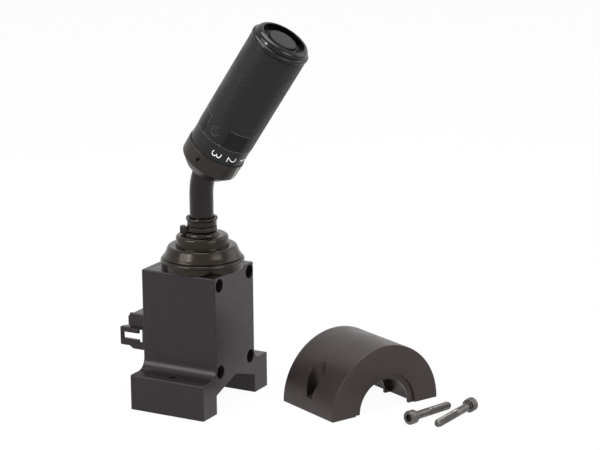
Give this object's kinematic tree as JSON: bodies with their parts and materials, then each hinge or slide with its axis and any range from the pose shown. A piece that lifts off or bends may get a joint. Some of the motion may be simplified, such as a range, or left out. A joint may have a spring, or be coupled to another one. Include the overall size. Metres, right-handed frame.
{
  "type": "column gear selector",
  "caption": "Clamp-on lever switch with a twist grip and a push button, for choosing direction and gear on a wheeled machine.",
  "frame": {"origin": "on the axis of the column that the clamp grips, in the split plane, half-way along the housing", "axes": "+X along the column towards the side the grip leans to, +Y to the rear of the housing, +Z away from the column and up the lever"},
  "size_m": [0.2538, 0.1517, 0.2805],
  "materials": {
    "housing_plastic": "satin moulded",
    "cap_plastic": "satin moulded",
    "seal_rubber": "matte",
    "boot_rubber": "glossy moulded",
    "sleeve_rubber": "knurled",
    "grip_plastic": "satin moulded",
    "ring_plastic": "glossy moulded",
    "button_plastic": "matte moulded",
    "tube_steel": "black, semi-gloss",
    "screw_steel": "blackened, lightly oiled",
    "bright_steel": "bright zinc",
    "cast_hub": "die-cast",
    "bronze": "sintered",
    "board_green": "solder mask",
    "chip_plastic": "moulded",
    "contact_metal": "plated",
    "magnet_metal": "nickel-plated",
    "tie_nylon": "moulded",
    "white_plastic": "moulded"
  },
  "bodies": {
    "housing": {"housing_body": "housing_plastic", "side_cover": "housing_plastic", "cover_gasket": "seal_rubber", "side_screws": "screw_steel", "plug_socket": "housing_plastic", "contact_pins": "contact_metal", "circuit_board": "board_green", "position_sensors": "chip_plastic", "board_screws": "bright_steel", "pivot_bracket": "bright_steel", "bracket_screws": "bright_steel", "pivot_bushes": "bronze", "detent_leaf": "bright_steel", "boot": "boot_rubber"},
    "lever": {"lever_tube": "tube_steel", "lever_hub": "cast_hub", "tube_pin": "bright_steel", "sensor_magnet": "magnet_metal", "pivot_pin": "bright_steel", "pin_clips": "bright_steel", "cable_tie": "tie_nylon", "grip_base": "grip_plastic", "base_set_screw": "screw_steel", "base_seal": "seal_rubber", "grip_spindle": "cast_hub", "spindle_screws": "bright_steel", "lower_bearing": "white_plastic", "upper_bearing": "white_plastic", "grip_clip": "bright_steel", "rotary_switch": "chip_plastic"},
    "twist_grip": {"grip_core": "grip_plastic", "grip_sleeve": "sleeve_rubber", "sleeve_plugs": "grip_plastic", "sleeve_screws": "bright_steel", "end_ring": "ring_plastic", "button_guide": "grip_plastic", "switch_carrier": "white_plastic", "button_switch": "chip_plastic", "switch_rotor": "white_plastic", "detent_ball": "bright_steel", "detent_spring": "bright_steel", "button_spring": "bright_steel"},
    "end_button": {"button_cap": "button_plastic"},
    "clamp_cap": {"clamp_cap": "cap_plastic"},
    "clamp_screw_1": {"clamp_screw_1": "screw_steel"},
    "clamp_screw_2": {"clamp_screw_2": "screw_steel"}
  },
  "joints": [
    {"name": "shift_tilt", "type": "hinge", "parent": "housing", "child": "lever", "pos_m": [0.0043, 0, 0.066], "axis": [0, 1, 0], "range_deg": [-12, 12], "deforming": ["boot", "detent_leaf"]},
    {"name": "gear_twist", "type": "hinge", "parent": "lever", "child": "twist_grip", "pos_m": [0.0043, 0, 0.16725], "axis": [0.5548, 0, 0.832], "range_deg": [0, 65], "deforming": ["detent_spring"]},
    {"name": "button_press", "type": "slide", "parent": "twist_grip", "child": "end_button", "axis": [-0.5548, 0, -0.832], "range_m": [0, 0.0025], "stiffness_N_per_m": 900, "springref_m": -0.0015, "deforming": ["button_spring"]},
    {"name": "clamp_cap_lift", "type": "slide", "parent": "housing", "child": "clamp_cap", "axis": [0, 0, 1], "range_m": [0, 0.1]},
    {"name": "clamp_screw_1_lift", "type": "slide", "parent": "housing", "child": "clamp_screw_1", "axis": [0, 0, 1], "range_m": [0, 0.1]},
    {"name": "clamp_screw_2_lift", "type": "slide", "parent": "housing", "child": "clamp_screw_2", "axis": [0, 0, 1], "range_m": [0, 0.1]}
  ]
}
